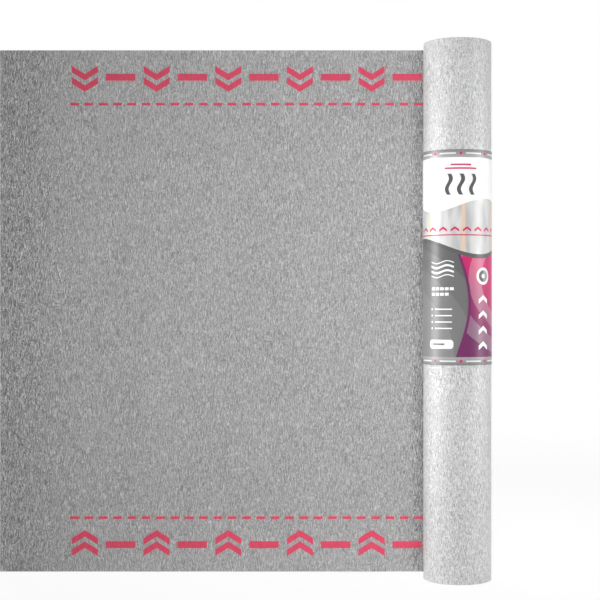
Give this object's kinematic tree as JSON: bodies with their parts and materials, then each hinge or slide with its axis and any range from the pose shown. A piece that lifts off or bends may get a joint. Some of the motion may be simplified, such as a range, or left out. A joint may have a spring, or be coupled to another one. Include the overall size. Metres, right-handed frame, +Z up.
{
  "type": "insulation roll",
  "caption": "Upright roll of foil-faced foam insulation with a round bore, its outer end led off as a flat sheet, and a wrap-round label.",
  "frame": {"origin": "centre of the bore at the roll's lower end, on the floor", "axes": "+Z up along the bore; -X along the free end of the sheet; -Y towards the front, where the label shows"},
  "size_m": [1.1208, 0.1557, 1.2],
  "materials": {
    "foil_faced_foam": "crinkled metallised film on one face, paler embossed foam on the other",
    "printed_label": "glossy printed film"
  },
  "bodies": {
    "root": {"insulation_sheet": "foil_faced_foam", "label_band": "printed_label"}
  },
  "joints": []
}
